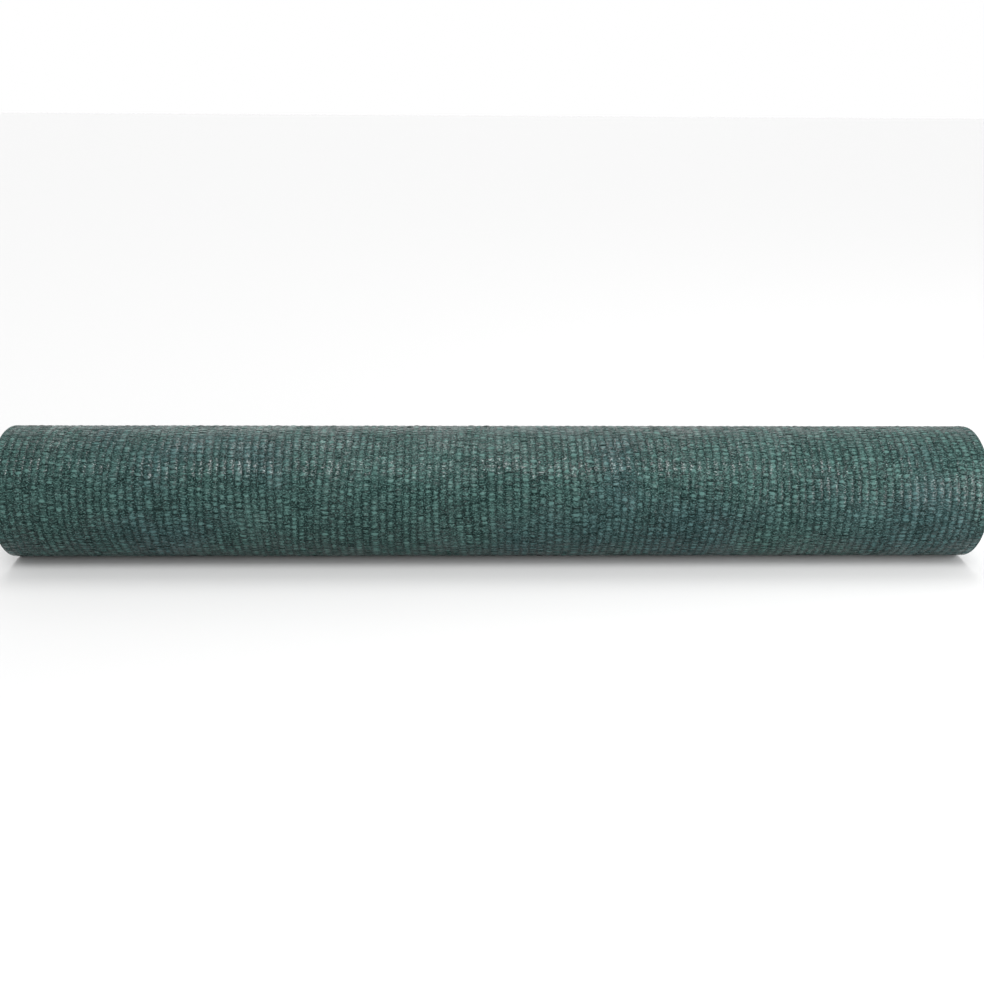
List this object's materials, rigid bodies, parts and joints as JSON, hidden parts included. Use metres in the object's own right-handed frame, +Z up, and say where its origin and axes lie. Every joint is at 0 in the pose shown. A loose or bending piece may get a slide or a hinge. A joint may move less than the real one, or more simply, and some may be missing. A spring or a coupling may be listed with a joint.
{
  "type": "privacy screen netting roll",
  "caption": "Tight coreless roll of knitted green privacy netting lying on its side, with spiral turns at both ends and the free edge low at the back.",
  "frame": {"origin": "on the resting surface, under the middle of the roll", "axes": "+X along the roll, +Z up, -Y towards the front, where the free edge does not show"},
  "size_m": [1, 0.139, 0.1366],
  "materials": {
    "netting": "knitted flat plastic tape, dark bluish green, satin with fine glints"
  },
  "bodies": {
    "root": {"netting_roll": "netting"}
  },
  "joints": []
}
